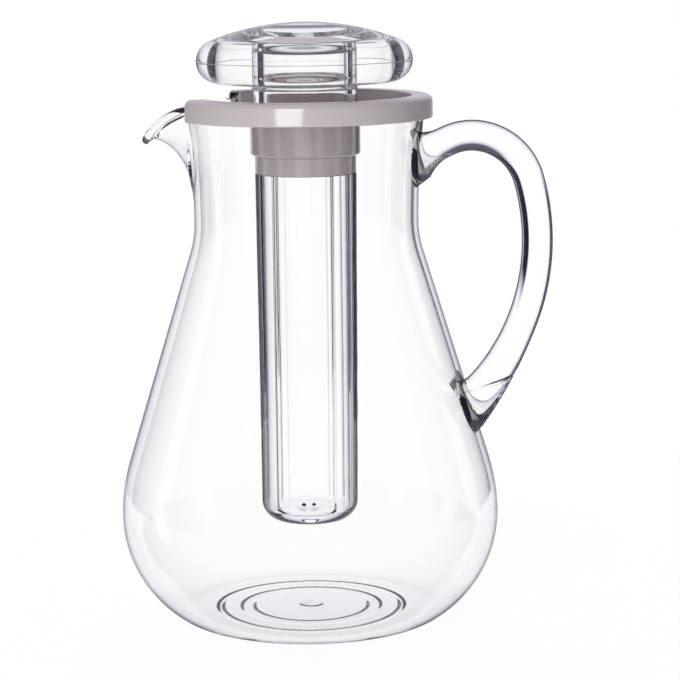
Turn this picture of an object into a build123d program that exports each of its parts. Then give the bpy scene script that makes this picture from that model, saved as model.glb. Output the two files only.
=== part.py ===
from build123d import *
import math
import os

# A clear pitcher with an ice core, in millimetres. +Z is up, the spout points along -X, the handle
# along +X, and the origin is on the jug's axis, on the table.

# Jug: the side is a chain of tangent arcs from the foot to the mouth
belly_radius = 82.0
belly_height = 46.4
belly_curve = 52.2
foot_curve = 18.0
shoulder_curve = 77.7
waist_radius = 48.2
waist_height = 174.0
waist_curve = 44.0
mouth_flare = 3.4
neck_height = 50.4
jug_wall = 3.0
base_thickness = 3.2
floor_curve = 15.0

# Base: two shallow ring grooves underneath and the gate mark on the floor inside
groove_edges = [(24.0, 32.0), (38.0, 42.7)]
groove_depth = 0.8
gate_mark_radius = 5.0
gate_mark_height = 0.7

# Spout: a beak that leaves the neck and droops to its tip
spout_projection = 21.0
spout_tip_drop = 15.5
spout_underside_drop = 31.8
spout_root_half_width = 26.0
spout_tip_half_width = 2.6
spout_side_rise = 4.5
spout_lip_angle = 12.0
spout_wall = 2.4

# Handle: one bow with a tighter bend over its top, flared where it is bonded on, just below the lid
handle_stand_off = 52.4
handle_lid_clearance = 5.6
handle_bow_radius = 94.0
handle_top_radius = 25.0
handle_top_bend_angle = 16.0
handle_leave_angle = 115.0
handle_thickness = 13.0
handle_width = 13.6
handle_flare_thickness = 25.0
handle_flare_width = 18.0
handle_flare_length = 13.0
bond_gap = 0.06

# Lid: a ring that straddles the rim, a recessed floor and a socket below it
lid_rim_gap = 0.5
lid_skirt_wall = 2.5
lid_top_wall = 1.9
lid_skirt_height = 9.6
lid_top_rounding = 2.8
lid_edge_rounding = 0.6
lid_recess_depth = 7.4
lid_floor_thickness = 2.0
lid_spout_clearance = 6.4
pour_notch_radius = 40.0
seal_thickness = 1.5
seal_side_gap = 0.4

# Socket in the lid, shared by the knob's neck above and the tube's collar below
socket_radius = 22.45
socket_wall = 1.2
socket_drop = 15.6
socket_chamfer = 0.7
ledge_depth = 4.5
ledge_thickness = 1.2
ledge_width = 2.4
socket_fit = 0.1

# Knob: two hollow halves welded at the widest place, round a neck tube
knob_radius = 46.3
knob_clearance = 5.8
knob_height = 25.4
knob_side_radius = 9.2
knob_side_wall = 8.5
knob_floor = 1.9
knob_crown_thickness = 10.2
knob_neck_wall = 4.3
knob_flare = 3.6

# Ice tube and its collar
collar_band_height = 8.0
collar_band_inset = 0.65
collar_seat_height = 5.0
tube_wall = 3.8
tube_length = 152.0
tube_draft = 0.9
tube_floor = 5.5
tube_bottom_rounding = 8.5
tube_neck_wall = 1.6
flute_count = 8
flute_depth = 1.3
flute_turn = -13.0
gate_nub_radius = 2.2
gate_nub_height = 1.4

# O-rings in the neck and in the collar
ring_section_radius = 0.9
ring_fit = 0.05
ring_groove_gap = 0.1
neck_ring_depth = 1.6
collar_ring_depth = 4.0

# Places that follow from the sizes above
mouth_radius = waist_radius + mouth_flare
mouth_height = waist_height + neck_height
neck_curve = (neck_height**2 + mouth_flare**2) / (2 * mouth_flare)
curve_gap = (waist_radius + waist_curve - belly_radius + shoulder_curve, waist_height - belly_height)
curve_turn = math.acos((shoulder_curve + waist_curve) / math.hypot(*curve_gap))
flank = math.atan2(curve_gap[1], curve_gap[0]) - curve_turn
flank_angle = math.degrees(flank)
flank_top = (
    waist_radius + waist_curve * (1 - math.cos(flank)),
    waist_height - waist_curve * math.sin(flank),
)

lid_ceiling = mouth_height + seal_thickness
lid_top = lid_ceiling + lid_top_wall
lid_bottom = lid_top - lid_skirt_height
skirt_inner_radius = mouth_radius + lid_rim_gap
lid_radius = skirt_inner_radius + lid_skirt_wall
channel_inner_radius = mouth_radius - jug_wall - 2 * lid_rim_gap
lid_wall_inner_radius = channel_inner_radius - lid_top_wall
lid_gap_half_angle = math.degrees(math.asin((spout_root_half_width + lid_spout_clearance) / lid_radius))
lid_floor_top = lid_top - lid_recess_depth
lid_floor_bottom = lid_floor_top - lid_floor_thickness
socket_bottom = lid_floor_bottom - socket_drop
socket_outer_radius = socket_radius + socket_wall
ledge_top = lid_floor_top - ledge_depth
ledge_bottom = ledge_top - ledge_thickness

neck_radius = socket_radius - socket_fit
neck_bore_radius = neck_radius - knob_neck_wall
knob_bottom = lid_top + knob_clearance
knob_seam = knob_bottom + knob_side_radius
knob_top_height = knob_bottom + knob_height
knob_side_centre = (knob_radius - knob_side_radius, knob_seam)
knob_cap_rise = knob_top_height - knob_seam
knob_cap_radius = (
    (knob_side_centre[0] ** 2 + knob_cap_rise**2 - knob_side_radius**2) / (2 * (knob_cap_rise - knob_side_radius))
)
knob_cap_angle = math.degrees(math.asin(knob_side_centre[0] / (knob_cap_radius - knob_side_radius)))
hollow_bottom = knob_bottom + knob_floor
hollow_top = knob_top_height - knob_crown_thickness
hollow_curve = (hollow_top - hollow_bottom) / 2
hollow_centre = (knob_radius - knob_side_wall - hollow_curve, hollow_bottom + hollow_curve)
hollow_seam_angle = math.degrees(math.asin((knob_seam - hollow_centre[1]) / hollow_curve))
hollow_flare = min(knob_flare, 0.8 * (hollow_centre[0] - neck_radius))

collar_radius = socket_radius - socket_fit
band_radius = socket_radius - collar_band_inset
tube_top = socket_bottom - collar_band_height
tube_bottom = tube_top - tube_length
tube_bore_radius = band_radius - tube_wall - flute_depth
tube_neck_radius = tube_bore_radius + flute_depth + tube_neck_wall
tube_neck_top = socket_bottom + collar_seat_height
ring_centre_radius = socket_radius - ring_fit - ring_section_radius

spout_reach = mouth_radius + spout_projection
spout_tip_height = mouth_height - spout_tip_drop
spout_side_height = spout_tip_height + spout_side_rise
spout_root = math.sqrt(mouth_radius**2 - spout_root_half_width**2)
spout_span = spout_reach - waist_radius
spout_taper = (spout_root_half_width - spout_tip_half_width) / (spout_reach - spout_root)
spout_underside_start = spout_tip_height - spout_underside_drop
spout_turns = (15, 35, 55, 75)
lip_turn = math.radians(spout_lip_angle)

# The handle's line is set by the gap under the lid, and ends inside the jug's wall at both joints
bend_turn = math.radians(handle_top_bend_angle)
leave_turn = math.radians(handle_leave_angle)
bend_offset = handle_bow_radius - handle_top_radius
bow_centre_radius = waist_radius + handle_stand_off - handle_bow_radius
bend_centre_radius = bow_centre_radius + bend_offset * math.cos(bend_turn)
run_start_radius = bend_centre_radius + handle_top_radius * math.cos(leave_turn)
run_slope = -1 / math.tan(leave_turn)
rod_half_height = handle_thickness / 2 / math.sin(leave_turn)
run_start_height = lid_bottom - handle_lid_clearance - rod_half_height
run_start_height = run_start_height + run_slope * (run_start_radius - lid_radius)
bend_centre_height = run_start_height - handle_top_radius * math.sin(leave_turn)
bow_centre_height = bend_centre_height - bend_offset * math.sin(bend_turn)
bow_centre = (bow_centre_radius, bow_centre_height)
bend_centre = (bend_centre_radius, bend_centre_height)
run_start = (run_start_radius, run_start_height)
run_end_radius = waist_radius - jug_wall
run_end = (run_end_radius, run_start_height - run_slope * (run_start_radius - run_end_radius))
flank_distance = (
    math.cos(flank) * (flank_top[0] - bow_centre_radius) + math.sin(flank) * (flank_top[1] - bow_centre_height)
)
handle_end_turn = flank - math.acos((flank_distance - jug_wall) / handle_bow_radius)
handle_end_angle = math.degrees(handle_end_turn)
flare_shares = (0, 0.33, 0.67, 1)
handle_shares = (0.2, 0.4, 0.6, 0.8)

neck_ring_height = ledge_top + neck_ring_depth
collar_ring_height = ledge_bottom - collar_ring_depth
ring_groove_width = 2 * (ring_section_radius + ring_groove_gap)
ring_groove_depth = 2 * ring_section_radius - socket_fit + ring_fit + ring_groove_gap
collar_bore_radius = tube_bore_radius + flute_depth
flute_spread = tube_bore_radius * math.cos(math.pi / flute_count)
flute_radius = (
    (collar_bore_radius**2 + tube_bore_radius**2 - 2 * collar_bore_radius * flute_spread)
    / (2 * (collar_bore_radius - flute_spread))
)


def floor_corner(inset, floor, curve):
    """Centre and end angle of the arc of a given radius that joins the belly's arc to a flat floor."""
    reach = belly_curve - inset - curve
    depth = belly_height - floor - curve
    corner_radius = belly_radius - belly_curve + math.sqrt(reach**2 - depth**2)
    return (corner_radius, floor + curve), math.degrees(math.asin(depth / reach))


def jug_outline(inset, floor, curve, top):
    """Half section of the jug, its side moved inwards by inset, between a floor and a flat top."""
    belly_centre = (belly_radius - belly_curve, belly_height)
    corner, corner_angle = floor_corner(inset, floor, curve)
    waist_centre = (waist_radius + waist_curve, waist_height)
    neck_centre = (waist_radius + neck_curve, waist_height)
    neck_arc = math.degrees(math.asin((top - waist_height) / (neck_curve + inset)))
    base = Line((0, floor), (corner[0], floor))
    CenterArc(corner, curve, -90, 90 - corner_angle)
    CenterArc(belly_centre, belly_curve - inset, -corner_angle, corner_angle)
    shoulder = CenterArc((belly_radius - shoulder_curve, belly_height), shoulder_curve - inset, 0, flank_angle)
    waist = CenterArc(waist_centre, waist_curve + inset, 180 + flank_angle, -flank_angle)
    Line(shoulder @ 1, waist @ 0)
    neck = CenterArc(neck_centre, neck_curve + inset, 180, -neck_arc)
    mouth = Line(neck @ 1, (0, top))
    Line(mouth @ 1, base @ 0)


def spout_section(distance, wall):
    """Upright U-shaped cross section of the beak at a distance from the jug's axis, less a wall."""
    reach = min(1.0, (spout_reach - distance) / (spout_span + wall))
    underside = spout_underside_start + (spout_underside_drop + wall) * math.sqrt(1 - reach**2)
    half_width = spout_tip_half_width + (spout_reach - distance) * spout_taper
    half_width = half_width - wall / math.cos(math.atan(spout_taper))
    side_depth = spout_side_height - underside
    with BuildSketch(Plane(origin=(-distance, 0, 0), x_dir=(0, -1, 0), z_dir=(-1, 0, 0))) as section:
        with BuildLine():
            bottom = EllipticalCenterArc((0, spout_side_height), half_width, side_depth, 180, arc_size=180)
            Polyline(bottom @ 1, (half_width, lid_top), (-half_width, lid_top), bottom @ 0)
        make_face()
    return section.sketch


def spout_stations(wall, root, end):
    """Distances of the beak's cross sections, closer together where its underside is steep."""
    steps = [spout_reach - (spout_span + wall) * math.cos(math.radians(turn)) for turn in spout_turns]
    return [root] + steps + [end]


def handle_section(line, distance):
    """Oval section of the rod at a distance along its line, flared towards both ends."""
    share = distance / line.length
    from_end = min(distance, line.length - distance)
    flare = max(0.0, 1 - from_end / handle_flare_length) ** 2
    thickness = handle_thickness + flare * (handle_flare_thickness - handle_thickness)
    width = handle_width + flare * (handle_flare_width - handle_width)
    with BuildSketch(Plane(origin=line @ share, x_dir=(0, 1, 0), z_dir=line % share)) as section:
        Ellipse(width / 2, thickness / 2)
    return section.sketch


def spout_opening(mode):
    """Sector of the sketch that is left free for the spout, outside the pour notch."""
    start = 180 - lid_gap_half_angle
    corner = (2 * lid_radius * math.cos(math.radians(start)), 2 * lid_radius * math.sin(math.radians(start)))
    with BuildLine() as outline:
        notch = CenterArc((0, 0), pour_notch_radius, start, 2 * lid_gap_half_angle)
        Polyline(notch @ 1, (corner[0], -corner[1]), corner, notch @ 0)
    make_face(outline.edges(), mode=mode)


os.makedirs("parts", exist_ok=True)

# The jug, with its beak spout, hollowed and trimmed along the lip
with BuildPart() as jug_body:
    with BuildSketch(Plane.XZ):
        with BuildLine():
            jug_outline(0, 0, foot_curve, mouth_height)
        make_face()
    revolve(axis=Axis.Z)
    spout_outside = spout_stations(0, spout_root - 2 * jug_wall, spout_reach)
    loft([spout_section(distance, 0) for distance in spout_outside])
    with BuildSketch(Plane.XZ):
        with BuildLine():
            jug_outline(jug_wall, base_thickness, floor_curve, mouth_height)
        make_face()
    revolve(axis=Axis.Z, mode=Mode.SUBTRACT)
    spout_inside = spout_stations(spout_wall, spout_root - 3 * jug_wall, spout_reach - spout_wall / 2)
    loft([spout_section(distance, spout_wall) for distance in spout_inside], mode=Mode.SUBTRACT)
    with BuildSketch(Plane.XZ):
        with BuildLine():
            lip = TangentArc(
                (-spout_root, mouth_height), (-spout_reach, spout_tip_height),
                tangent=(-math.cos(lip_turn), -math.sin(lip_turn)),
            )
            Polyline(
                lip @ 1, (-2 * spout_reach, spout_tip_height), (-2 * spout_reach, lid_top + 1), (0, lid_top + 1),
                (0, mouth_height), lip @ 0,
            )
        make_face()
    extrude(amount=belly_radius, both=True, mode=Mode.SUBTRACT)
    for inner_edge, outer_edge in groove_edges:
        with BuildSketch():
            Circle(outer_edge)
            Circle(inner_edge, mode=Mode.SUBTRACT)
        extrude(amount=groove_depth, mode=Mode.SUBTRACT)
    with BuildSketch(Plane.XY.offset(base_thickness)):
        Circle(gate_mark_radius)
    extrude(amount=gate_mark_height)
jug_body.part.label = "jug_body"
export_step(jug_body.part, "parts/jug_body.step")

# The handle's rod follows a bow, with a tighter bend over the top and a straight run into the neck
with BuildLine(Plane.XZ) as handle_path:
    CenterArc(bow_centre, handle_bow_radius, handle_end_angle, handle_top_bend_angle - handle_end_angle)
    CenterArc(bend_centre, handle_top_radius, handle_top_bend_angle, handle_leave_angle - handle_top_bend_angle)
    Line(run_start, run_end)
handle_line = handle_path.wires()[0]
handle_stations = [handle_flare_length * share for share in flare_shares]
handle_middle = handle_line.length - 2 * handle_flare_length
with BuildPart() as handle:
    loft(
        [handle_section(handle_line, distance) for distance in handle_stations]
        + [handle_section(handle_line, handle_flare_length + handle_middle * share) for share in handle_shares]
        + [handle_section(handle_line, handle_line.length - distance) for distance in reversed(handle_stations)]
    )
    with BuildSketch(Plane.XZ):
        with BuildLine():
            jug_outline(-bond_gap, -bond_gap, foot_curve, mouth_height)
        make_face()
    revolve(axis=Axis.Z, mode=Mode.SUBTRACT)
handle.part.label = "handle"
export_step(handle.part, "parts/handle.step")

# The lid: channel over the rim, recessed floor and socket, turned in one piece, then opened at the spout
with BuildPart() as lid:
    with BuildSketch(Plane.XZ) as lid_section:
        with BuildLine():
            Polyline(
                (lid_radius, lid_bottom), (lid_radius, lid_top),
                (lid_wall_inner_radius, lid_top), (lid_wall_inner_radius, lid_floor_top),
                (socket_radius, lid_floor_top), (socket_radius, ledge_top),
                (socket_radius - ledge_width, ledge_top), (socket_radius - ledge_width, ledge_bottom),
                (socket_radius, ledge_bottom), (socket_radius, socket_bottom),
                (socket_outer_radius, socket_bottom), (socket_outer_radius, lid_floor_bottom),
                (channel_inner_radius, lid_floor_bottom), (channel_inner_radius, lid_ceiling),
                (skirt_inner_radius, lid_ceiling), (skirt_inner_radius, lid_bottom),
                close=True,
            )
        make_face()
        corners = lid_section.vertices()
        fillet(corners.sort_by_distance((lid_radius, lid_top))[0], lid_top_rounding)
        fillet(corners.sort_by_distance((lid_radius, lid_bottom))[0], lid_edge_rounding)
        fillet(corners.sort_by_distance((lid_wall_inner_radius, lid_top))[0], lid_edge_rounding)
        fillet(corners.sort_by_distance((socket_radius, lid_floor_top))[0], lid_edge_rounding)
        chamfer(corners.sort_by_distance((socket_outer_radius, socket_bottom))[0], socket_chamfer)
    revolve(axis=Axis.Z)
    with BuildSketch(Plane.XY.offset(socket_bottom)):
        spout_opening(Mode.ADD)
    extrude(amount=lid_top - socket_bottom, mode=Mode.SUBTRACT)
lid.part.label = "lid"
export_step(lid.part, "parts/lid.step")

# The soft ring that lies in the lid's channel and sits on the rim
with BuildPart() as lid_seal:
    with BuildSketch(Plane.XY.offset(mouth_height)):
        Circle(skirt_inner_radius - seal_side_gap)
        Circle(channel_inner_radius + seal_side_gap, mode=Mode.SUBTRACT)
        spout_opening(Mode.SUBTRACT)
    extrude(amount=seal_thickness)
lid_seal.part.label = "lid_seal"
export_step(lid_seal.part, "parts/lid_seal.step")

# The knob's lower half: a bowl round the neck tube, which stands on the socket's ledge
with BuildPart() as knob_base:
    with BuildSketch(Plane.XZ) as base_section:
        with BuildLine():
            outside = CenterArc(knob_side_centre, knob_side_radius, 270, 90)
            inside = CenterArc(hollow_centre, hollow_curve, 270, 90 + hollow_seam_angle)
            Line(outside @ 1, inside @ 1)
            Polyline(
                inside @ 0, (neck_radius, hollow_bottom), (neck_radius, knob_seam),
                (neck_bore_radius, knob_seam), (neck_bore_radius, ledge_top), (neck_radius, ledge_top),
                (neck_radius, knob_bottom), outside @ 0,
            )
        make_face()
        corners = base_section.vertices()
        fillet(corners.sort_by_distance((neck_radius, hollow_bottom))[0], hollow_flare)
        fillet(corners.sort_by_distance((neck_radius, knob_bottom))[0], knob_flare)
        with Locations((neck_radius, neck_ring_height)):
            Rectangle(2 * ring_groove_depth, ring_groove_width, mode=Mode.SUBTRACT)
    revolve(axis=Axis.Z)
knob_base.part.label = "knob_base"
export_step(knob_base.part, "parts/knob_base.step")

# The knob's upper half: a thick domed cap with a short tube that meets the neck tube at the weld
with BuildPart() as knob_top:
    with BuildSketch(Plane.XZ) as top_section:
        with BuildLine():
            outside = CenterArc(knob_side_centre, knob_side_radius, 0, 90 - knob_cap_angle)
            cap_centre = (0, knob_top_height - knob_cap_radius)
            cap = CenterArc(cap_centre, knob_cap_radius, 90 - knob_cap_angle, knob_cap_angle)
            inside = CenterArc(hollow_centre, hollow_curve, hollow_seam_angle, 90 - hollow_seam_angle)
            Line(outside @ 0, inside @ 0)
            Polyline(
                inside @ 1, (neck_radius, hollow_top), (neck_radius, knob_seam), (neck_bore_radius, knob_seam),
                (neck_bore_radius, hollow_top), (0, hollow_top), cap @ 1,
            )
        make_face()
        fillet(top_section.vertices().sort_by_distance((neck_radius, hollow_top))[0], hollow_flare)
    revolve(axis=Axis.Z)
knob_top.part.label = "knob_top"
export_step(knob_top.part, "parts/knob_top.step")

# The ice tube: drafted outside, fluted inside, with a rounded bottom and a spigot for the collar
with BuildPart() as ice_tube:
    with BuildSketch(Plane.XZ) as tube_section:
        with BuildLine():
            Polyline(
                (0, tube_bottom), (band_radius - tube_draft, tube_bottom), (band_radius, tube_top),
                (tube_neck_radius, tube_top), (tube_neck_radius, tube_neck_top), (0, tube_neck_top),
                close=True,
            )
        make_face()
        bottom_corner = tube_section.vertices().sort_by_distance((band_radius - tube_draft, tube_bottom))[0]
        fillet(bottom_corner, tube_bottom_rounding)
    revolve(axis=Axis.Z)
    with BuildSketch(Plane.XY.offset(tube_bottom + tube_floor)):
        Circle(tube_bore_radius)
        with PolarLocations(tube_bore_radius + flute_depth - flute_radius, flute_count, start_angle=flute_turn):
            Circle(flute_radius)
    extrude(amount=tube_neck_top - tube_bottom - tube_floor, mode=Mode.SUBTRACT)
    with BuildSketch(Plane.XY.offset(tube_bottom + tube_floor)):
        Circle(gate_nub_radius)
    extrude(amount=gate_nub_height)
ice_tube.part.label = "ice_tube"
export_step(ice_tube.part, "parts/ice_tube.step")

# The collar on the tube's spigot: a band below the socket and a plug inside it
with BuildPart() as tube_collar:
    with BuildSketch(Plane.XZ):
        with BuildLine():
            Polyline(
                (band_radius, tube_top), (band_radius, socket_bottom), (collar_radius, socket_bottom),
                (collar_radius, ledge_bottom), (collar_bore_radius, ledge_bottom),
                (collar_bore_radius, tube_neck_top), (tube_neck_radius + bond_gap, tube_neck_top),
                (tube_neck_radius + bond_gap, tube_top),
                close=True,
            )
        make_face()
        with Locations((collar_radius, collar_ring_height)):
            Rectangle(2 * ring_groove_depth, ring_groove_width, mode=Mode.SUBTRACT)
    revolve(axis=Axis.Z)
tube_collar.part.label = "tube_collar"
export_step(tube_collar.part, "parts/tube_collar.step")

# The O-rings that hold the neck and the collar in the socket
for ring_name, ring_height in (("knob_o_ring", neck_ring_height), ("tube_o_ring", collar_ring_height)):
    with BuildPart() as o_ring:
        with BuildSketch(Plane.XZ):
            with Locations((ring_centre_radius, ring_height)):
                Circle(ring_section_radius)
        revolve(axis=Axis.Z)
    o_ring.part.label = ring_name
    export_step(o_ring.part, f"parts/{ring_name}.step")
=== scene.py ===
import math

import bmesh
import bpy
from mathutils import Matrix, Vector


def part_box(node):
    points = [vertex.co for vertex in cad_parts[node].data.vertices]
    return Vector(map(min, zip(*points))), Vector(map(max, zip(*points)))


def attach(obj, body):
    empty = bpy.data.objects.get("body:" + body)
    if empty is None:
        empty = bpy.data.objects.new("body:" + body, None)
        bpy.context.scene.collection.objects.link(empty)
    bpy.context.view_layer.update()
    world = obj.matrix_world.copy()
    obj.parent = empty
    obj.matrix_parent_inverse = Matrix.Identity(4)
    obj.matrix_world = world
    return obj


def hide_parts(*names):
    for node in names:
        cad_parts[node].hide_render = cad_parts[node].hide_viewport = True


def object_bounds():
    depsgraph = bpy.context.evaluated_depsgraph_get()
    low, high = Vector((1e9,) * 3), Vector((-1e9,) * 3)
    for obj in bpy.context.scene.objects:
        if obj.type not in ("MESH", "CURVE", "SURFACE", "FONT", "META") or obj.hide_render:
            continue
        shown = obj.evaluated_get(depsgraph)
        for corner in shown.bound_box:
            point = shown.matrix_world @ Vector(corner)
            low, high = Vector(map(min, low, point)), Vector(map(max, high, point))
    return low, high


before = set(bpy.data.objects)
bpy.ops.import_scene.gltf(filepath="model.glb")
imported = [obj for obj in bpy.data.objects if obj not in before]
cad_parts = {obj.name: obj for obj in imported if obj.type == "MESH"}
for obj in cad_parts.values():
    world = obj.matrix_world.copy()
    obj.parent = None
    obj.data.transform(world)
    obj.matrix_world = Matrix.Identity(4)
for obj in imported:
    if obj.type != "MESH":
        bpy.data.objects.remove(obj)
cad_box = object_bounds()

# The jug: one pear-shaped shell of clear moulded plastic, with a beak drawn out of its neck.
# Its wall is even, its rim is rounded over and its beak's lip is a round bead. Its foot has two
# shallow ring grooves underneath and a gate mark inside.
mm = 0.001
jug_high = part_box("jug_body")[1]
belly_radius = jug_high.y
mouth_height = jug_high.z
belly_height = 46.4 * mm
belly_curve = 52.2 * mm
foot_curve = 18.0 * mm
shoulder_curve = 77.7 * mm
waist_radius = 48.2 * mm
waist_height = 174.0 * mm
waist_curve = 44.0 * mm
mouth_flare = 3.4 * mm
jug_wall = 3.0 * mm
floor_height = 3.2 * mm
floor_curve = 15.0 * mm
groove_edges = ((24.0 * mm, 32.0 * mm), (38.0 * mm, 42.7 * mm))
groove_depth = 0.8 * mm
groove_slope = 2.3 * mm
groove_steps = 10
tight = 0.02 * mm
gate_mark_radius = 5.0 * mm
gate_mark_height = 0.4 * mm
gate_mark_slope = 0.5 * mm
jug_steps = 288
belly_steps = 20
flank_steps = 10
neck_steps = 70
rim_steps = 10
spout_crowding = 0.6
merge_gap = 0.001 * mm

beak_reach = 72.6 * mm
beak_span = 24.4 * mm
beak_low = 177.1 * mm
beak_rise = 31.8 * mm
beak_side_height = 213.4 * mm
beak_taper = 0.842
beak_nose = 3.0 * mm
beak_blend = 0.5 * mm
beak_tuck = 1.6 * mm
beak_fade = 20.0 * mm
beak_turn_limit = math.radians(50)
lip_start = 44.57 * mm
lip_curve = 54.96 * mm
lip_centre = (33.14 * mm, 170.64 * mm)
bead_radius = 1.8 * mm
bead_end_radius = 1.2 * mm
bead_inset = 0.8 * mm
bead_drop = 0.9 * mm
bead_turn = math.radians(32)
bead_nudge = math.radians(0.05)
bead_steps = 96
bead_sides = 24
halvings = 24

neck_height = mouth_height - waist_height
neck_curve = (neck_height**2 + mouth_flare**2) / (2 * mouth_flare)
curve_gap = Vector((
    waist_radius + waist_curve - belly_radius + shoulder_curve,
    waist_height - belly_height,
))
flank = math.atan2(curve_gap.y, curve_gap.x)
flank -= math.acos((shoulder_curve + waist_curve) / curve_gap.length)


def arc(centre, reach, start, end, count):
    """Points of an arc about a centre, from a start to an end angle in degrees."""
    turns = [math.radians(start + (end - start) * step / count) for step in range(count + 1)]
    return [(centre[0] + reach * math.cos(turn), centre[1] + reach * math.sin(turn)) for turn in turns]


def eased(share):
    """A share from 0 to 1 that leaves and arrives gently."""
    return share**2 * (3 - 2 * share)


def last_true(near, far, holds):
    """The furthest value between near and far for which a test holds, found by halving."""
    for _ in range(halvings):
        middle = (near + far) / 2
        if holds(middle):
            near = middle
        else:
            far = middle
    return near


def jug_side(inset, floor, corner_curve, top):
    """Outline of the jug's side, moved inwards by inset, from its floor up to a height below the mouth."""
    reach = belly_curve - inset - corner_curve
    depth = belly_height - floor - corner_curve
    corner = (belly_radius - belly_curve + math.sqrt(reach**2 - depth**2), floor + corner_curve)
    belly_centre = (belly_radius - belly_curve, belly_height)
    shoulder_centre = (belly_radius - shoulder_curve, belly_height)
    waist_centre = (waist_radius + waist_curve, waist_height)
    neck_centre = (waist_radius + neck_curve, waist_height)
    corner_turn = math.degrees(math.asin(depth / reach))
    flank_turn = math.degrees(flank)
    neck_turn = math.degrees(math.asin((top - waist_height) / (neck_curve + inset)))
    outline = arc(corner, corner_curve, -90, -corner_turn, belly_steps)
    outline += arc(belly_centre, belly_curve - inset, -corner_turn, 0, belly_steps)[1:]
    outline += arc(shoulder_centre, shoulder_curve - inset, 0, flank_turn, flank_steps)[1:]
    outline += arc(waist_centre, waist_curve + inset, 180 + flank_turn, 180, flank_steps)
    outline += arc(neck_centre, neck_curve + inset, 180, 180 - neck_turn, neck_steps)[1:]
    return outline


def jug_radius(height):
    """Radius of the jug's outside at a height between its belly and its mouth."""
    if height > waist_height:
        return waist_radius + neck_curve - math.sqrt(neck_curve**2 - (height - waist_height)**2)
    if height > waist_height - waist_curve * math.sin(flank):
        return waist_radius + waist_curve - math.sqrt(waist_curve**2 - (height - waist_height)**2)
    flank_bottom = belly_height + shoulder_curve * math.sin(flank)
    if height > flank_bottom:
        flank_radius = belly_radius - shoulder_curve * (1 - math.cos(flank))
        return flank_radius - math.tan(flank) * (height - flank_bottom)
    return belly_radius - shoulder_curve + math.sqrt(shoulder_curve**2 - (height - belly_height)**2)


def groove(inner_edge, outer_edge):
    """Outline across one ring groove under the foot, with sides that rise in an S."""
    shares = [step / groove_steps for step in range(groove_steps + 1)]
    rise = [(groove_slope * share, groove_depth * eased(share)) for share in shares]
    outline = [(inner_edge - tight, 0.0)]
    outline += [(inner_edge + across, height) for across, height in rise]
    outline += [(inner_edge + groove_slope + tight, groove_depth)]
    outline += [(outer_edge - groove_slope - tight, groove_depth)]
    outline += [(outer_edge - across, height) for across, height in reversed(rise)]
    outline += [(outer_edge + tight, 0.0)]
    return outline


def sealed(shape):
    """Merges a shape's doubled points and turns its faces outwards."""
    bmesh.ops.remove_doubles(shape, verts=shape.verts, dist=merge_gap)
    bmesh.ops.recalc_face_normals(shape, faces=shape.faces)


def turned(outline, steps):
    """A closed shape turned about the jug's axis, from an outline that starts and ends on the axis."""
    shape = bmesh.new()
    points = [shape.verts.new((radius, 0, height)) for radius, height in outline]
    lines = [shape.edges.new(pair) for pair in zip(points, points[1:])]
    bmesh.ops.spin(
        shape, geom=points + lines, axis=(0, 0, 1), cent=(0, 0, 0),
        angle=math.tau, steps=steps, use_merge=True,
    )
    sealed(shape)
    return shape


def rod(frames, sides):
    """A closed rod whose sections are unit circles, each set in its place by a matrix."""
    shape = bmesh.new()
    ring = bmesh.ops.create_circle(shape, segments=sides, radius=1.0, cap_ends=True, cap_tris=True)["verts"]
    bmesh.ops.transform(shape, matrix=frames[0], verts=ring)
    edges = [edge for edge in shape.edges if edge.is_boundary]
    for placed, following in zip(frames, frames[1:]):
        grown = bmesh.ops.extrude_edge_only(shape, edges=edges)["geom"]
        edges = [item for item in grown if isinstance(item, bmesh.types.BMEdge) and item.is_boundary]
        moved = [item for item in grown if isinstance(item, bmesh.types.BMVert)]
        bmesh.ops.transform(shape, matrix=following @ placed.inverted(), verts=moved)
    bmesh.ops.contextual_create(shape, geom=edges)
    bmesh.ops.poke(shape, faces=[face for face in shape.faces if len(face.verts) == sides])
    bmesh.ops.recalc_face_normals(shape, faces=shape.faces)
    return shape


def finished(name, shape, material, sharp_angle):
    """The object of a finished shape, smooth except along edges sharper than an angle in degrees."""
    mesh = bpy.data.meshes.new(name)
    shape.to_mesh(mesh)
    shape.free()
    mesh.shade_smooth()
    mesh.set_sharp_from_angle(angle=math.radians(sharp_angle))
    mesh.materials.append(material)
    made = bpy.data.objects.new(name, mesh)
    bpy.context.scene.collection.objects.link(made)
    return made


def lip_height(distance):
    """Height of the beak's drooping lip at a distance from the jug's axis."""
    if distance <= lip_start:
        return mouth_height
    return lip_centre[1] + math.sqrt(max(0.0, lip_curve**2 - (distance - lip_centre[0])**2))


def beak_half_width(distance, height):
    """Half the beak's width at a distance from the axis and a height, in its U-shaped cross section."""
    left = beak_reach - distance
    if left <= 0:
        return 0.0
    widest = beak_taper * math.sqrt(left**2 + 2 * beak_nose * left)
    underside = beak_low + beak_rise * math.sqrt(max(0.0, 1 - (left / beak_span)**2))
    depth = max(0.0, beak_side_height - height) / (beak_side_height - underside)
    return widest * math.sqrt(max(0.0, 1 - depth**2))


def beak_distance(turn, height_at):
    """How far out the beak's side lies in the direction turned from the spout, at a height that may vary."""
    def within(distance):
        return beak_half_width(distance, height_at(distance)) > distance * math.tan(turn)

    return last_true(waist_radius / 2, beak_reach, within)


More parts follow.
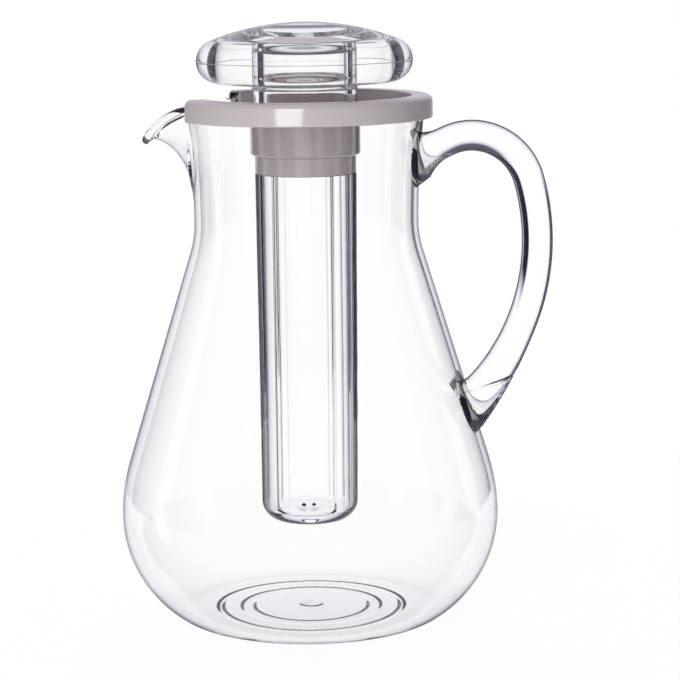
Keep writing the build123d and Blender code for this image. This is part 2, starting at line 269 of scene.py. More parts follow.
def draw_beak(vert):
    """Moves one point of the turned neck out and down into the beak."""
    radius = math.hypot(vert.co.x, vert.co.y)
    turn = math.atan2(vert.co.y, -vert.co.x)
    if vert.co.z < waist_height or abs(turn) > beak_turn_limit:
        return
    lip = lip_height(beak_distance(abs(turn), lip_height))
    rise = (lip - waist_height) / neck_height
    height = waist_height + (vert.co.z - waist_height) * rise
    if height > beak_low:
        beak = beak_distance(abs(turn), lambda distance: height) / math.cos(turn)
        ahead = beak - beak_tuck - jug_radius(vert.co.z)
        share = min(1.0, (height - beak_low) / beak_fade)
        radius += eased(share) * (ahead + math.sqrt(ahead**2 + beak_blend**2)) / 2
    vert.co = Vector((-radius * math.cos(turn), radius * math.sin(turn), height))


def lip_point(turn):
    """Point on the outer edge of the beak's lip, in the direction turned from the spout."""
    distance = beak_distance(abs(turn), lip_height)
    return Vector((-distance, distance * math.tan(turn), lip_height(distance)))


def bead_frame(step):
    """Matrix that sets a unit circle as a section of the round bead along the beak's lip."""
    share = 2 * step / bead_steps - 1
    turn = bead_turn * share * abs(share)
    heading = (lip_point(turn + bead_nudge) - lip_point(turn - bead_nudge)).normalized()
    inwards = heading.cross(Vector((0, 0, 1))).normalized()
    place = lip_point(turn) + inwards * bead_inset - Vector((0, 0, bead_drop))
    radius = bead_end_radius + (bead_radius - bead_end_radius) * math.sqrt(1 - share**4)
    turned_to = Matrix((inwards, heading.cross(inwards), heading)).transposed().to_4x4()
    return Matrix.Translation(place) @ turned_to @ Matrix.Diagonal((radius, radius, 1, 1))


def new_material(name):
    """A material and its node tree, which starts with one plain shader."""
    material = bpy.data.materials.new(name)
    material.use_nodes = True
    return material, material.node_tree


def feed(tree, value, socket):
    """Links another node's output to a socket, or sets the socket to a number or a colour."""
    if isinstance(value, bpy.types.NodeSocket):
        tree.links.new(value, socket)
    else:
        socket.default_value = value


def worked_out(tree, operation, *values):
    """The result of one arithmetic node, from numbers or other nodes' outputs."""
    node = tree.nodes.new("ShaderNodeMath")
    node.operation = operation
    for value, socket in zip(values, node.inputs):
        feed(tree, value, socket)
    return node.outputs["Value"]


def ranged(tree, value, start, end, low=0.0, high=1.0):
    """A value between a start and an end, carried over to the range from low to high."""
    node = tree.nodes.new("ShaderNodeMapRange")
    limits = {"Value": value, "From Min": start, "From Max": end, "To Min": low, "To Max": high}
    for name, limit in limits.items():
        feed(tree, limit, node.inputs[name])
    return node.outputs["Result"]


def shaded(tree, value, stops):
    """The colour of a ramp, given as stops of a position and a colour, at a value."""
    node = tree.nodes.new("ShaderNodeValToRGB")
    elements = node.color_ramp.elements
    for element, (position, shade) in zip(elements, (stops[0], stops[-1])):
        element.position = position
        element.color = (*shade, 1.0)
    for position, shade in stops[1:-1]:
        elements.new(position).color = (*shade, 1.0)
    tree.links.new(value, node.inputs["Fac"])
    return node.outputs["Color"]


def mottled(tree, scale, detail):
    """A cloudy pattern that lies fixed in a piece."""
    place = tree.nodes.new("ShaderNodeTexCoord")
    noise = tree.nodes.new("ShaderNodeTexNoise")
    noise.inputs["Scale"].default_value = scale
    noise.inputs["Detail"].default_value = detail
    tree.links.new(place.outputs["Object"], noise.inputs["Vector"])
    return noise.outputs["Fac"]


def uneven(tree, pattern, strength, depth):
    """Gives a material's surface the bumps of a pattern."""
    bump = tree.nodes.new("ShaderNodeBump")
    bump.inputs["Strength"].default_value = strength
    bump.inputs["Distance"].default_value = depth
    tree.links.new(pattern, bump.inputs["Height"])
    tree.links.new(bump.outputs["Normal"], tree.nodes["Principled BSDF"].inputs["Normal"])


def blended(tree, factor, first, second):
    """Ends a material in a mix of two shaders, with the second one where the factor is 1."""
    mix = tree.nodes.new("ShaderNodeMixShader")
    for value, socket in zip((factor, first, second), mix.inputs):
        tree.links.new(value, socket)
    tree.links.new(mix.outputs["Shader"], tree.nodes["Material Output"].inputs["Surface"])


def clear_plastic(name, painted_edge_shade, painted_rim_start, painted_rim_full, level_face_shade_share, ripple, outside_only=False):
    """Clear polished plastic, faintly rippled, with painted shade that darkens it where its faces are seen
    edge on.
    """
    material, tree = new_material(name)
    plastic = tree.nodes["Principled BSDF"]
    plastic.inputs["Roughness"].default_value = 0.0
    plastic.inputs["IOR"].default_value = 1.49
    plastic.inputs["Transmission Weight"].default_value = 1.0
    plastic.inputs["Specular Tint"].default_value = (0.2, 0.2, 0.2, 1.0)
    # Painted shade: where faces are seen edge on, the base colour darkens and the plastic turns to dark
    # metal. This stands in for the dark lines that refraction shows at clear edges. Level faces keep only a
    # share of it.
    face = tree.nodes.new("ShaderNodeNewGeometry")
    slant = tree.nodes.new("ShaderNodeSeparateXYZ")
    tree.links.new(face.outputs["Normal"], slant.inputs["Vector"])
    lying = worked_out(tree, "MULTIPLY", slant.outputs["Z"], level_face_shade_share - 1.0)
    upright = worked_out(tree, "MULTIPLY_ADD", slant.outputs["Z"], lying, 1.0)
    facing = tree.nodes.new("ShaderNodeLayerWeight")
    facing.inputs["Blend"].default_value = 0.5
    edge = worked_out(tree, "MULTIPLY", facing.outputs["Facing"], upright)
    # The painted edge shade can be kept to the outer faces only.
    if outside_only:
        place = tree.nodes.new("ShaderNodeTexCoord")
        spot = tree.nodes.new("ShaderNodeSeparateXYZ")
        tree.links.new(place.outputs["Object"], spot.inputs["Vector"])
        along_x = worked_out(tree, "MULTIPLY", spot.outputs["X"], slant.outputs["X"])
        outwards = worked_out(tree, "MULTIPLY_ADD", spot.outputs["Y"], slant.outputs["Y"], along_x)
        turned_out = worked_out(tree, "GREATER_THAN", outwards, 0.0)
        from_within = worked_out(tree, "SUBTRACT", turned_out, face.outputs["Backfacing"])
        edge = worked_out(tree, "MULTIPLY", edge, worked_out(tree, "ABSOLUTE", from_within))
    # The painted edge shade sets the base colour, and at its darkest it turns the plastic to dark metal.
    tree.links.new(shaded(tree, edge, painted_edge_shade), plastic.inputs["Base Color"])
    tree.links.new(ranged(tree, edge, painted_rim_start, painted_rim_full), plastic.inputs["Metallic"])
    uneven(tree, mottled(tree, scale=45.0, detail=1.0), strength=ripple, depth=0.2 * mm)
    path = tree.nodes.new("ShaderNodeLightPath")
    thin_shadow = tree.nodes.new("ShaderNodeBsdfTransparent")
    thin_shadow.inputs["Color"].default_value = (0.78, 0.765, 0.785, 1.0)
    blended(tree, path.outputs["Is Shadow Ray"], plastic.outputs["BSDF"], thin_shadow.outputs["BSDF"])
    return material


white = (1.0, 1.0, 1.0)
rim_radius = jug_wall / 2
rim_height = mouth_height - rim_radius
mark_top = floor_height + gate_mark_height
underneath = [(0.0, 0.0)]
for groove_edge_pair in groove_edges:
    underneath += groove(*groove_edge_pair)
outside = jug_side(0.0, 0.0, foot_curve, rim_height)
inside = jug_side(jug_wall, floor_height, floor_curve, rim_height)
rim_middle = ((outside[-1][0] + inside[-1][0]) / 2, rim_height)
rim = arc(rim_middle, rim_radius, 0, 180, rim_steps)[1:-1]
gate_mark = [
    (gate_mark_radius + gate_mark_slope, floor_height),
    (gate_mark_radius, mark_top), (0.0, mark_top),
]
jug_shape = turned(underneath + outside + rim + inside[::-1] + gate_mark, jug_steps)
for vert in jug_shape.verts:
    turn = math.atan2(vert.co.y, -vert.co.x)
    vert.co.rotate(Matrix.Rotation(spout_crowding * math.sin(turn), 3, "Z"))
    draw_beak(vert)
bmesh.ops.recalc_face_normals(jug_shape, faces=jug_shape.faces)
# Painted shade at the jug's edges: its colour darkens towards black where its outer faces are seen edge on.
jug_painted_edge_shade = (
    (0.45, white), (0.65, (0.95, 0.94, 0.965)), (0.76, (0.72, 0.70, 0.78)),
    (0.84, (0.30, 0.27, 0.35)), (0.90, (0.06, 0.05, 0.08)),
)
jug_plastic = clear_plastic(
    "clear_jug_plastic", jug_painted_edge_shade,
    painted_rim_start=0.82, painted_rim_full=0.97, level_face_shade_share=1.0, ripple=0.02, outside_only=True,
)
jug = finished("clear_jug", jug_shape, jug_plastic, sharp_angle=35)
bead_shape = rod([bead_frame(step) for step in range(bead_steps + 1)], bead_sides)
lip_bead = finished("lip_bead", bead_shape, jug_plastic, sharp_angle=60)
moulded_on = jug.modifiers.new("lip_bead", "BOOLEAN")
moulded_on.operation = "UNION"
moulded_on.solver = "EXACT"
moulded_on.object = lip_bead
jug_mesh = bpy.data.meshes.new_from_object(jug.evaluated_get(bpy.context.evaluated_depsgraph_get()))
jug.modifiers.clear()
jug.data = jug_mesh
bpy.data.objects.remove(lip_bead)
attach(jug, "jug")
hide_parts("jug_body")

# The handle: a solid rod of the same clear plastic, bent into a bow and bonded on at both ends.
# It flares at the joints, most at its heel, and a hair of glue gap there shows as a dark line.
bow_radius = 94.0 * mm
bow_centre = (6.6 * mm, 167.34 * mm)
bend_radius = 25.0 * mm
bend_turn = 16.0
leave_turn = 115.0
bow_end_turn = -49.8
rod_thickness = 13.0 * mm
rod_width = 13.6 * mm
flare_thickness = 25.0 * mm
flare_width = 18.0 * mm
flare_length = 13.0 * mm
heel_flare = 7.0 * mm
heel_length = 48.0 * mm
glue_gap = 0.06 * mm
slide_reach = 2 * flare_length
rod_steps = 90
rod_sides = 64
cap_rings = 5

bend_centre = arc(bow_centre, bow_radius - bend_radius, bend_turn, bend_turn, 1)[0]
run_start = arc(bend_centre, bend_radius, leave_turn, leave_turn, 1)[0]
run_direction = (-math.sin(math.radians(leave_turn)), math.cos(math.radians(leave_turn)))
run_length = (run_start[0] - waist_radius) / -run_direction[0]
bow_length = bow_radius * math.radians(bend_turn - bow_end_turn)
bend_length = bend_radius * math.radians(leave_turn - bend_turn)
rod_length = bow_length + bend_length + run_length


def rod_point(distance):
    """Place and direction of the handle's centre line, at a distance from its lower joint."""
    if distance < bow_length:
        turn = bow_end_turn + math.degrees(distance / bow_radius)
        place = arc(bow_centre, bow_radius, turn, turn, 1)[0]
    elif distance < bow_length + bend_length:
        turn = bend_turn + math.degrees((distance - bow_length) / bend_radius)
        place = arc(bend_centre, bend_radius, turn, turn, 1)[0]
    else:
        turn = leave_turn
        gone = distance - bow_length - bend_length
        place = (run_start[0] + gone * run_direction[0], run_start[1] + gone * run_direction[1])
    heading = math.radians(turn + 90)
    return Vector((place[0], 0, place[1])), Vector((math.cos(heading), 0, math.sin(heading)))


def rod_frame(distance, share):
    """Matrix that sets a unit circle as the rod's oval section, shrunk to a share of its size."""
    place, heading = rod_point(distance)
    from_end = min(distance, rod_length - distance)
    flare = max(0.0, 1 - from_end / flare_length)**2
    width = rod_width + flare * (flare_width - rod_width)
    inner_flare = flare * (flare_thickness - rod_thickness) / 2
    heel = heel_flare * max(0.0, 1 - distance / heel_length)**2
    outer_flare = max(inner_flare, heel)
    thickness = rod_thickness + inner_flare + outer_flare
    across = Vector((0, 1, 0))
    outwards = across.cross(heading)
    middle = place + outwards * (outer_flare - inner_flare) / 2
    turned_to = Matrix((across, outwards, heading)).transposed().to_4x4()
    size = Matrix.Diagonal((share * width / 2, share * thickness / 2, 1, 1))
    return Matrix.Translation(middle) @ turned_to @ size


def set_on_jug(vert, heading):
    """Slides a point of the rod's end along the rod until it stands a glue gap off the jug."""
    def too_deep(slide):
        place = vert.co + heading * slide
        return math.hypot(place.x, place.y) <= jug_radius(place.z) + glue_gap

    vert.co += heading * last_true(-slide_reach, slide_reach, too_deep)


cap_shares = [(ring + 1) / cap_rings for ring in range(cap_rings)]
sections = [(0.0, share) for share in cap_shares]
sections += [(rod_length * step / rod_steps, 1.0) for step in range(1, rod_steps)]
sections += [(rod_length, share) for share in reversed(cap_shares)]
handle_shape = rod([rod_frame(*section) for section in sections], rod_sides)
foot_place, foot_heading = rod_point(0.0)
top_place, top_heading = rod_point(rod_length)
for vert in handle_shape.verts:
    if abs((vert.co - foot_place).dot(foot_heading)) < merge_gap:
        set_on_jug(vert, foot_heading)
    elif abs((vert.co - top_place).dot(top_heading)) < merge_gap:
        set_on_jug(vert, -top_heading)
bmesh.ops.recalc_face_normals(handle_shape, faces=handle_shape.faces)
# Painted shade at the handle's edges: its colour darkens towards black where its faces are seen edge on.
handle_painted_edge_shade = (
    (0.30, white), (0.46, (0.66, 0.62, 0.74)), (0.62, (0.12, 0.10, 0.15)), (0.80, (0.02, 0.015, 0.03)),
)
handle_plastic = clear_plastic(
    "clear_handle_plastic", handle_painted_edge_shade, painted_rim_start=0.55, painted_rim_full=0.85, level_face_shade_share=1.0, ripple=0.01,
)
handle = finished("bow_handle", handle_shape, handle_plastic, sharp_angle=50)
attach(handle, "jug")
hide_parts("handle")

# The lid: warm light grey plastic, moulded in one piece. A ring straddles the jug's rim and stops
# short of the beak, a recessed floor closes the mouth, and a socket for knob and tube hangs below.
lid_low, lid_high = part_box("lid")
lid_radius = lid_high.y
lid_top = lid_high.z
socket_bottom = lid_low.z
lid_bottom = lid_top - 9.6 * mm
skirt_inner_radius = lid_radius - 2.5 * mm
lid_ceiling = lid_top - 1.9 * mm
channel_inner_radius = 47.6 * mm
lid_wall_radius = channel_inner_radius - 1.9 * mm
lid_floor_top = lid_top - 7.4 * mm
lid_floor_bottom = lid_floor_top - 2.0 * mm
socket_radius = 22.45 * mm
socket_outer_radius = socket_radius + 1.2 * mm
socket_chamfer = 0.7 * mm
ledge_radius = socket_radius - 2.4 * mm
ledge_top = lid_floor_top - 4.5 * mm
ledge_bottom = ledge_top - 1.2 * mm
top_rounding = 2.8 * mm
top_steps = 8
edge_rounding = 0.6 * mm
edge_steps = 4
notch_radius = 40.0 * mm
gap_half_angle = 36.4
end_rounding = 0.8 * mm
end_steps = 3
ring_steps = 232
gap_steps = 56
quad_corners = 4


def grey_plastic(name, colour):
    """Opaque moulded plastic with a soft gloss, a hint of flow in its colour and a fine spark texture."""
    material, tree = new_material(name)
    plastic = tree.nodes["Principled BSDF"]
    plastic.inputs["IOR"].default_value = 1.5
    plastic.inputs["Specular IOR Level"].default_value = 0.55
    flow = mottled(tree, scale=60.0, detail=3.0)
    darker = [0.975 * part for part in colour]
    lighter = [1.025 * part for part in colour]
    tree.links.new(shaded(tree, flow, ((0.3, darker), (0.7, lighter))), plastic.inputs["Base Color"])
    tree.links.new(ranged(tree, flow, 0.0, 1.0, low=0.09, high=0.13), plastic.inputs["Roughness"])
    uneven(tree, mottled(tree, scale=2500.0, detail=2.0), strength=0.04, depth=0.05 * mm)
    return material


def swept(shape, outline, start, end, steps):
    """Turns a closed outline about the jug's axis from a start to an end angle in degrees."""
    points = [shape.verts.new((radius, 0, height)) for radius, height in outline]
    lines = [shape.edges.new(pair) for pair in zip(points, points[1:] + points[:1])]
    set_out = Matrix.Rotation(math.radians(start), 3, "Z")
    bmesh.ops.rotate(shape, verts=points, cent=(0, 0, 0), matrix=set_out)
    bmesh.ops.spin(
        shape, geom=points + lines, axis=(0, 0, 1), cent=(0, 0, 0),
        angle=math.radians(end - start), steps=steps, use_merge=end - start == 360,
    )


floor_and_socket = [(notch_radius, lid_floor_top)]
floor_and_socket += arc(
    (socket_radius + edge_rounding, lid_floor_top - edge_rounding), edge_rounding, 90, 180, edge_steps
)
floor_and_socket += [
    (socket_radius, ledge_top), (ledge_radius, ledge_top),
    (ledge_radius, ledge_bottom), (socket_radius, ledge_bottom),
    (socket_radius, socket_bottom), (socket_outer_radius - socket_chamfer, socket_bottom),
    (socket_outer_radius, socket_bottom + socket_chamfer), (socket_outer_radius, lid_floor_bottom),
    (notch_radius, lid_floor_bottom),
]
rim_ring = [
    (channel_inner_radius, lid_floor_bottom), (channel_inner_radius, lid_ceiling),
    (skirt_inner_radius, lid_ceiling), (skirt_inner_radius, lid_bottom),
]
rim_ring += arc((lid_radius - edge_rounding, lid_bottom + edge_rounding), edge_rounding, -90, 0, edge_steps)
rim_ring += arc((lid_radius - top_rounding, lid_top - top_rounding), top_rounding, 0, 90, top_steps)
rim_ring += arc(
    (lid_wall_radius + edge_rounding, lid_top - edge_rounding), edge_rounding, 90, 180, edge_steps
)
rim_ring += arc(
    (lid_wall_radius - edge_rounding, lid_floor_top + edge_rounding), edge_rounding, 0, -90, edge_steps
)
ring_end = gap_half_angle + math.degrees(end_rounding / lid_radius)
lid_shape = bmesh.new()
swept(lid_shape, floor_and_socket + rim_ring, ring_end - 180, 180 - ring_end, ring_steps)
swept(lid_shape, floor_and_socket, 180 - ring_end, 180 + ring_end, gap_steps)
bmesh.ops.remove_doubles(lid_shape, verts=lid_shape.verts, dist=merge_gap)
bmesh.ops.holes_fill(lid_shape, edges=[edge for edge in lid_shape.edges if edge.is_boundary], sides=0)
ring_ends = [face for face in lid_shape.faces if len(face.verts) > quad_corners]
bmesh.ops.recalc_face_normals(lid_shape, faces=lid_shape.faces)
end_curve = arc((0.0, 0.0), end_rounding, 0, 90, end_steps)
for (reach, rise), (next_reach, next_rise) in zip(end_curve, end_curve[1:]):
    bmesh.ops.inset_region(
        lid_shape, faces=ring_ends, thickness=reach - next_reach, depth=next_rise - rise,
        use_boundary=True, use_even_offset=True,
    )
bmesh.ops.recalc_face_normals(lid_shape, faces=lid_shape.faces)
lid_plastic = grey_plastic("grey_lid_plastic", (0.49, 0.448, 0.452))
lid = finished("lid_shell", lid_shape, lid_plastic, sharp_angle=40)
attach(lid, "lid")
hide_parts("lid")

# The seals: a flat ring under the lid and two O-rings, of pale soft rubber, pressed into their seats.
# They are the turned solids themselves, with a satin rubber finish.
rubber, rubber_tree = new_material("pale_rubber")
rubber_skin = rubber_tree.nodes["Principled BSDF"]
rubber_skin.inputs["Roughness"].default_value = 0.55
rubber_shades = ((0.0, (0.48, 0.48, 0.47)), (1.0, (0.58, 0.58, 0.57)))
bloom = shaded(rubber_tree, mottled(rubber_tree, scale=300.0, detail=2.0), rubber_shades)
rubber_tree.links.new(bloom, rubber_skin.inputs["Base Color"])
seals = [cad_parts[name] for name in ("lid_seal", "knob_o_ring", "tube_o_ring")]
for seal in seals:
    seal.data.materials.clear()
    seal.data.materials.append(rubber)

# The knob: two hollow halves of clear plastic, welded at the widest place, so that a fine line runs
# round it. Inside is an air ring round the neck tube, which plugs into the lid's socket with an O-ring.
knob_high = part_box("knob_top")[1]
bowl_low, bowl_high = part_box("knob_base")
knob_radius = knob_high.y
knob_crown = knob_high.z
knob_seam = bowl_high.z
knob_side_curve = 9.2 * mm
knob_bottom = knob_seam - knob_side_curve
knob_side_wall = 7.6 * mm
hollow_floor = knob_bottom + 1.9 * mm
hollow_ceiling = knob_crown - 10.2 * mm
neck_radius = socket_radius - 0.1 * mm
neck_bore_radius = neck_radius - 4.3 * mm
neck_flare = 3.6 * mm
neck_end = bowl_low.z
groove_low = neck_end + 0.6 * mm
groove_high = neck_end + 2.6 * mm
groove_radius = neck_radius - 1.85 * mm
weld_line = 0.12 * mm
weld_turn = 1
knob_steps = 256
round_steps = 24
hollow_steps = 40
flare_steps = 10

side_centre = (knob_radius - knob_side_curve, knob_seam)
cap_rise = knob_crown - knob_seam
cap_curve = (side_centre[0]**2 + cap_rise**2 - knob_side_curve**2) / (2 * (cap_rise - knob_side_curve))
cap_turn = math.degrees(math.asin(side_centre[0] / (cap_curve - knob_side_curve)))
hollow_curve = (hollow_ceiling - hollow_floor) / 2
hollow_centre = (knob_radius - knob_side_wall - hollow_curve, hollow_floor + hollow_curve)
flare_radius = neck_radius + neck_flare

knob_outline = arc((0.0, knob_crown - cap_curve), cap_curve, 90, 90 - cap_turn, round_steps)
knob_outline += arc(side_centre, knob_side_curve, 90 - cap_turn, weld_turn, round_steps)[1:]
knob_outline += [
    (knob_radius, knob_seam + weld_line), (knob_radius - weld_line, knob_seam),
    (knob_radius, knob_seam - weld_line),
]
knob_outline += arc(side_centre, knob_side_curve, -weld_turn, -90, round_steps)
knob_outline += arc((flare_radius, knob_bottom - neck_flare), neck_flare, 90, 180, flare_steps)
knob_outline += [
    (neck_radius, groove_high), (groove_radius, groove_high),
    (groove_radius, groove_low), (neck_radius, groove_low),
    (neck_radius, neck_end), (neck_bore_radius, neck_end),
    (neck_bore_radius, hollow_ceiling), (0.0, hollow_ceiling),
]
air_ring = arc((flare_radius, hollow_ceiling - neck_flare), neck_flare, 180, 90, flare_steps)
air_ring += arc(hollow_centre, hollow_curve, 90, -90, hollow_steps)
air_ring += arc((flare_radius, hollow_floor + neck_flare), neck_flare, 270, 180, flare_steps)
knob_shape = turned(knob_outline, knob_steps)
air_shape = bmesh.new()
swept(air_shape, air_ring, 0, 360, knob_steps)
sealed(air_shape)
bmesh.ops.reverse_faces(air_shape, faces=air_shape.faces)
air_mesh = bpy.data.meshes.new("knob_air")
air_shape.to_mesh(air_mesh)
air_shape.free()
knob_shape.from_mesh(air_mesh)
bpy.data.meshes.remove(air_mesh)
# Painted shade at the knob's edges: its colour darkens towards black where its faces are seen edge on.
knob_painted_edge_shade = ((0.58, white), (0.76, (0.45, 0.42, 0.52)), (0.88, (0.02, 0.015, 0.03)))
knob_plastic = clear_plastic(
    "clear_knob_plastic", knob_painted_edge_shade, painted_rim_start=0.76, painted_rim_full=0.94, level_face_shade_share=0.70, ripple=0.01,
)
knob = finished("clear_knob", knob_shape, knob_plastic, sharp_angle=50)
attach(knob, "knob")
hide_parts("knob_base", "knob_top")

# The ice tube: a thick clear tube, smooth and slightly drafted outside, with eight flutes moulded
# into its bore, a rounded bottom with a gate nub, and a thin spigot that the collar is bonded on.
tube_low, tube_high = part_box("ice_tube")
tube_bottom = tube_low.z
tube_radius = tube_high.y
spigot_top = tube_high.z
tube_top = tube_bottom + 152.0 * mm
tube_draft = 0.9 * mm
tube_floor = tube_bottom + 5.5 * mm
bottom_rounding = 8.5 * mm
bottom_steps = 12
floor_rounding = 2.0 * mm
floor_steps = 6
flute_crest = tube_radius - 3.8 * mm
flute_depth = 1.3 * mm
flute_ridge = flute_crest - flute_depth
flute_count = 8
flute_turn = math.radians(-13)
spigot_radius = flute_crest + 1.6 * mm
nub_radius = 3.0 * mm
nub_height = 1.4 * mm
nub_steps = 10
tube_steps = 256
bore_margin = 0.01 * mm

flute_step = math.tau / flute_count
ridge_reach = flute_ridge * math.cos(flute_step / 2)
ridge_gap = flute_crest**2 + flute_ridge**2 - 2 * flute_crest * ridge_reach
flute_radius = ridge_gap / (2 * (flute_crest - ridge_reach))
flute_centre = flute_crest - flute_radius
bottom_centre = (tube_radius - tube_draft - bottom_rounding, tube_bottom + bottom_rounding)
tube_outline = [(0.0, tube_bottom)]
tube_outline += arc(bottom_centre, bottom_rounding, -90, 0, bottom_steps)
tube_outline += [
    (tube_radius, tube_top), (spigot_radius, tube_top),
    (spigot_radius, spigot_top), (flute_crest, spigot_top),
]
tube_outline += arc(
    (flute_crest - floor_rounding, tube_floor + floor_rounding), floor_rounding, 0, -90, floor_steps
)
for step in range(nub_steps + 1):
    share = step / nub_steps
    swell = (1 - math.cos(math.pi * share)) / 2
    tube_outline += [(nub_radius * (1 - share), tube_floor + nub_height * swell)]
tube_shape = turned(tube_outline, tube_steps)
for vert in tube_shape.verts:
    radius = math.hypot(vert.co.x, vert.co.y)
    if nub_radius < radius < flute_crest + bore_margin and vert.co.z > tube_floor - bore_margin:
        turn = (math.atan2(vert.co.y, vert.co.x) - flute_turn + flute_step / 2) % flute_step
        lean = turn - flute_step / 2
        bore = flute_centre * math.cos(lean)
        bore += math.sqrt(flute_radius**2 - (flute_centre * math.sin(lean))**2)
        share = (radius - nub_radius) / (flute_crest - nub_radius)
        vert.co.xy *= 1 + (bore - flute_crest) / flute_crest * share
# Painted shade at the tube's edges: its colour darkens towards black where its faces are seen edge on.
tube_painted_edge_shade = ((0.25, white), (0.45, (0.55, 0.52, 0.61)), (0.62, (0.06, 0.05, 0.08)))
tube_plastic = clear_plastic(
    "clear_tube_plastic", tube_painted_edge_shade, painted_rim_start=0.60, painted_rim_full=0.85, level_face_shade_share=0.0, ripple=0.01,
)
tube = finished("core_tube", tube_shape, tube_plastic, sharp_angle=50)
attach(tube, "tube")
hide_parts("ice_tube")

# The collar: the same grey plastic as the lid, bonded on the tube's spigot. Its band shows below the
# socket, and the plug above it holds an O-ring in a groove.
collar_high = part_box("tube_collar")[1]
collar_radius = collar_high.y
collar_top = collar_high.z
collar_bore_radius = flute_crest
glue_radius = spigot_radius + glue_gap
band_bevel = 0.35 * mm
collar_groove_low = collar_top - 5.0 * mm
collar_groove_high = collar_top - 3.0 * mm
collar_groove_radius = collar_radius - 1.85 * mm

collar_outline = [
    (tube_radius - band_bevel, tube_top), (tube_radius, tube_top + band_bevel),
    (tube_radius, socket_bottom - band_bevel), (tube_radius - band_bevel, socket_bottom),
    (collar_radius, socket_bottom), (collar_radius, collar_groove_low),
    (collar_groove_radius, collar_groove_low), (collar_groove_radius, collar_groove_high),
    (collar_radius, collar_groove_high), (collar_radius, collar_top),
    (collar_bore_radius, collar_top), (collar_bore_radius, spigot_top),
    (glue_radius, spigot_top), (glue_radius, tube_top),
]
collar_shape = bmesh.new()
swept(collar_shape, collar_outline, 0, 360, tube_steps)
sealed(collar_shape)
collar = finished("core_collar", collar_shape, lid_plastic, sharp_angle=40)
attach(collar, "tube")
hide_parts("tube_collar")

# The stage: a plain white floor and, all round it, tall white cards with dark gaps between them, which
# make the clear plastic show dark lines at its edges from every side, beside the painted edge shade in
# its materials. Two soft lamps light the grey plastic, the rubber and the floor.
floor_radius = 0.42
floor_drop = 0.2 * mm
floor_sides = 128
glow_fade_start = 0.22
glow_fade_end = 0.95 * floor_radius
glow_least = 0.96
floor_shape = bmesh.new()
bmesh.ops.create_circle(floor_shape, segments=floor_sides, radius=floor_radius, cap_ends=True)
floor_paint, floor_tree = new_material("white_floor")
paint = floor_tree.nodes["Principled BSDF"]
paint.inputs["Base Color"].default_value = (0.85, 0.85, 0.86, 1.0)
paint.inputs["Roughness"].default_value = 0.9
paint.inputs["Specular IOR Level"].default_value = 0.0
glow = floor_tree.nodes.new("ShaderNodeEmission")
glow.inputs["Color"].default_value = (*white, 1.0)
floor_path = floor_tree.nodes.new("ShaderNodeLightPath")
seen = worked_out(
    floor_tree, "MAXIMUM", floor_path.outputs["Is Camera Ray"], floor_path.outputs["Is Transmission Ray"]
)
floor_place = floor_tree.nodes.new("ShaderNodeTexCoord")
from_middle = floor_tree.nodes.new("ShaderNodeVectorMath")
from_middle.operation = "LENGTH"
floor_tree.links.new(floor_place.outputs["Object"], from_middle.inputs["Vector"])
glow_share = ranged(floor_tree, from_middle.outputs["Value"], glow_fade_start, glow_fade_end, low=glow_least)
glowing = worked_out(floor_tree, "MULTIPLY", seen, glow_share)
blended(floor_tree, glowing, paint.outputs["BSDF"], glow.outputs["Emission"])
floor = finished("floor", floor_shape, floor_paint, sharp_angle=30)
floor.location.z = -floor_drop

dark_gaps = (
    (50.8, 83.0), (97.0, 128.0), (142.0, 173.0), (205.0, 218.0),
    (232.0, 263.0), (277.0, 308.0), (322.0, 347.0),
)
gap_softness = 1.5
gap_bottom_start = -0.30
gap_bottom_end = -0.22
black = (0.0, 0.0, 0.0)
gap_colour = (0.02, 0.015, 0.03)
gap_edge_colour = (0.55, 0.50, 0.66)
mirrored_colour = (0.58, 0.56, 0.66)
low_light = (0.05, 0.05, 0.052)
high_light = (0.28, 0.28, 0.29)
card_fade = ((0.12, white), (0.22, (0.75, 0.75, 0.75)), (0.34, (0.10, 0.10, 0.10)), (1.0, black))


def mixed(tree, factor, first, second):
    """A colour that is the first one where the factor is 0 and the second one where it is 1."""
    node = tree.nodes.new("ShaderNodeMix")
    node.data_type = "RGBA"
    for name, value in (("Factor", factor), ("A", first), ("B", second)):
        feed(tree, value, node.inputs[name])
    return node.outputs["Result"]


world = bpy.data.worlds.new("studio")
bpy.context.scene.world = world
world.use_nodes = True
sky = world.node_tree
sky_way = sky.nodes.new("ShaderNodeTexCoord")
sky_parts = sky.nodes.new("ShaderNodeSeparateXYZ")
sky.links.new(sky_way.outputs["Generated"], sky_parts.inputs["Vector"])
sky_height = sky_parts.outputs["Z"]
sky_turn = worked_out(sky, "ARCTAN2", sky_parts.outputs["Y"], sky_parts.outputs["X"])
turn_share = worked_out(sky, "DIVIDE", sky_turn, math.tau)
azimuth_share = worked_out(sky, "FRACT", worked_out(sky, "SUBTRACT", turn_share, 0.25))
card_stops = []
for gap_start, gap_end in dark_gaps:
    card_stops += [
        ((gap_start - gap_softness) / 360, white), ((gap_start + gap_softness) / 360, black),
        ((gap_end - gap_softness) / 360, black), ((gap_end + gap_softness) / 360, white),
    ]
gap_shown = worked_out(sky, "SUBTRACT", 1.0, shaded(sky, azimuth_share, card_stops))
gap_share = worked_out(sky, "MULTIPLY", gap_shown, ranged(sky, sky_height, gap_bottom_start, gap_bottom_end))
card_share = worked_out(sky, "SUBTRACT", 1.0, gap_share)
brightness = worked_out(sky, "MULTIPLY", card_share, shaded(sky, sky_height, card_fade))
cards = shaded(sky, brightness, ((0.0, gap_colour), (0.5, gap_edge_colour), (1.0, white)))
soft_light = shaded(sky, sky_height, ((0.0, low_light), (1.0, high_light)))
sky_path = sky.nodes.new("ShaderNodeLightPath")
mirrored = mixed(sky, sky_path.outputs["Is Glossy Ray"], soft_light, (*mirrored_colour, 1.0))
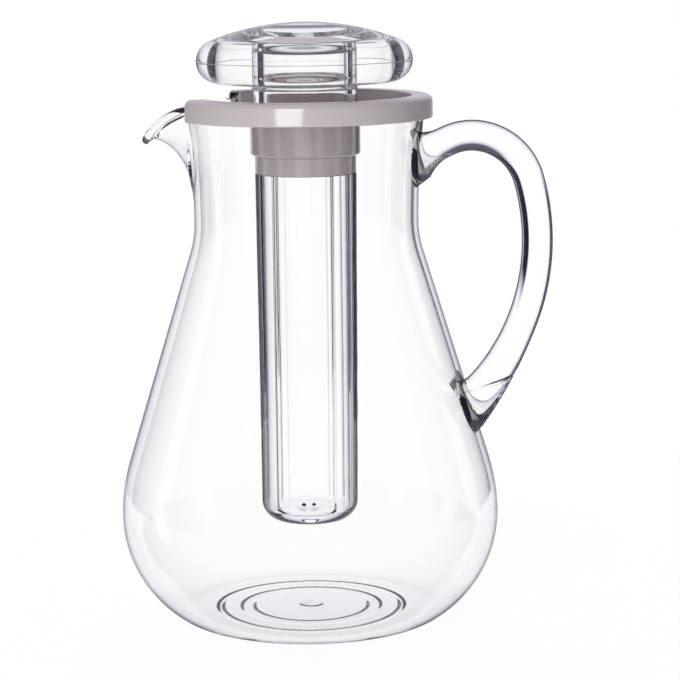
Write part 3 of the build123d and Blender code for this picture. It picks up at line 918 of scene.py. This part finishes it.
backdrop = mixed(sky, sky_path.outputs["Is Camera Ray"], mirrored, (*white, 1.0))
room = mixed(sky, sky_path.outputs["Is Transmission Ray"], backdrop, cards)
sky.links.new(room, sky.nodes["Background"].inputs["Color"])
sky.nodes["Background"].inputs["Strength"].default_value = 1.0

view_azimuth = 15.0
lamp_lit = bpy.data.collections.new("lamp_lit")
for opaque_piece in (lid, collar, floor, *seals):
    lamp_lit.objects.link(opaque_piece)


def lamp(name, azimuth, elevation, distance, size, power):
    """A soft rectangular lamp aimed at the middle of the jug from an azimuth and an elevation in degrees."""
    data = bpy.data.lights.new(name, "AREA")
    data.shape = "RECTANGLE"
    data.size, data.size_y = size
    data.energy = power
    made = bpy.data.objects.new(name, data)
    bpy.context.scene.collection.objects.link(made)
    turn, lift = math.radians(azimuth), math.radians(elevation)
    aim = Vector((0, 0, cad_box[1][2] / 2))
    away = Vector((math.sin(turn) * math.cos(lift), -math.cos(turn) * math.cos(lift), math.sin(lift)))
    made.location = aim + away * distance
    made.rotation_euler = away.to_track_quat("Z", "Y").to_euler()
    made.light_linking.receiver_collection = lamp_lit
    return made


lamp("key_lamp", azimuth=view_azimuth - 14.0, elevation=10.0, distance=1.2, size=(0.50, 1.2), power=14.0)
back_lamp = lamp(
    "back_lamp", azimuth=view_azimuth + 180.0, elevation=55.0, distance=1.8, size=(0.8, 0.8), power=30.0,
)
back_lamp.visible_glossy = False

# The camera stands in front, a little above the lid, turned towards the handle's side.
camera_distance = 1.114
camera_height = 302.2 * mm
camera_tilt = 9.2
camera_roll = -0.75
picture_size = 680
focal_pixels = 2600
sensor = 36.0
axis_pixel = 308
camera_data = bpy.data.cameras.new("camera")
camera_data.sensor_width = sensor
camera_data.sensor_fit = "HORIZONTAL"
camera_data.lens = sensor * focal_pixels / picture_size
camera_data.shift_x = (picture_size / 2 - axis_pixel) / picture_size
camera = bpy.data.objects.new("camera", camera_data)
bpy.context.scene.collection.objects.link(camera)
swing = math.radians(view_azimuth)
tilt = math.radians(camera_tilt)
camera.location = (camera_distance * math.sin(swing), -camera_distance * math.cos(swing), camera_height)
look = Vector((-math.sin(swing) * math.cos(tilt), math.cos(swing) * math.cos(tilt), -math.sin(tilt)))
level = look.to_track_quat("-Z", "Y").to_matrix()
camera.rotation_euler = (level @ Matrix.Rotation(math.radians(camera_roll), 3, "Z")).to_euler()
bpy.context.scene.camera = camera

bpy.context.scene.view_settings.view_transform = "Standard"
bpy.context.scene.cycles.max_bounces = 32
bpy.context.scene.cycles.transmission_bounces = 32
bpy.context.scene.cycles.glossy_bounces = 16
